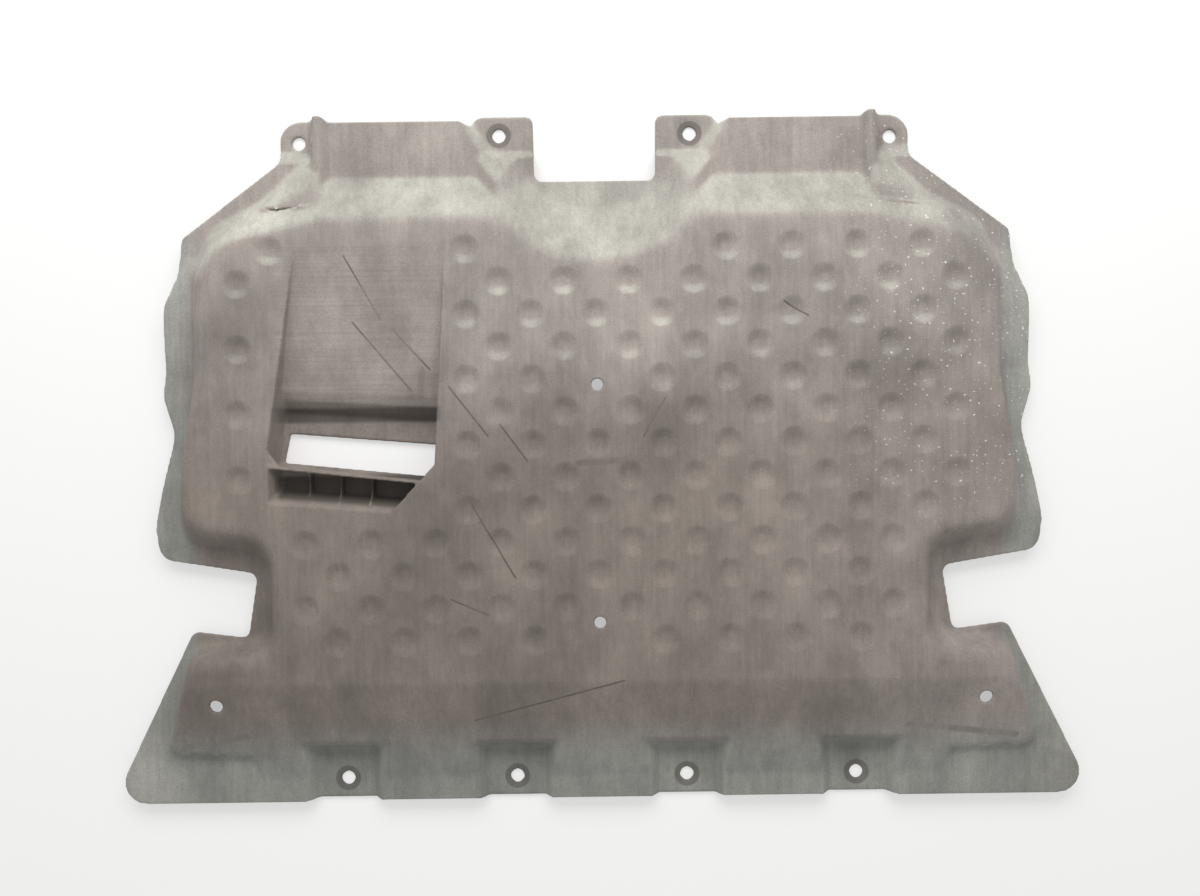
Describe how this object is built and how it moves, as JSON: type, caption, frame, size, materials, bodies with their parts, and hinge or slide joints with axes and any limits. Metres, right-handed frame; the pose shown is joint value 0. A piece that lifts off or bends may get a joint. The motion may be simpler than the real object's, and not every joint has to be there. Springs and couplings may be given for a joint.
{
  "type": "under engine cover",
  "caption": "Wide pressed plastic tray that closes the underside of an engine bay, with a dimpled raised panel, a one-sided ribbed air vent, notched sides and screw pads along both edges.",
  "frame": {"origin": "middle of the footprint, on the surface that the screw pads rest on", "axes": "+Z out of the road face, +Y towards the front of the car, +X across it, away from the vent"},
  "size_m": [0.793, 0.57, 0.033],
  "materials": {
    "cover_plastic": "matte, dusty and scratched, with a fibrous surface"
  },
  "bodies": {
    "root": {"under_cover": "cover_plastic"}
  },
  "joints": []
}
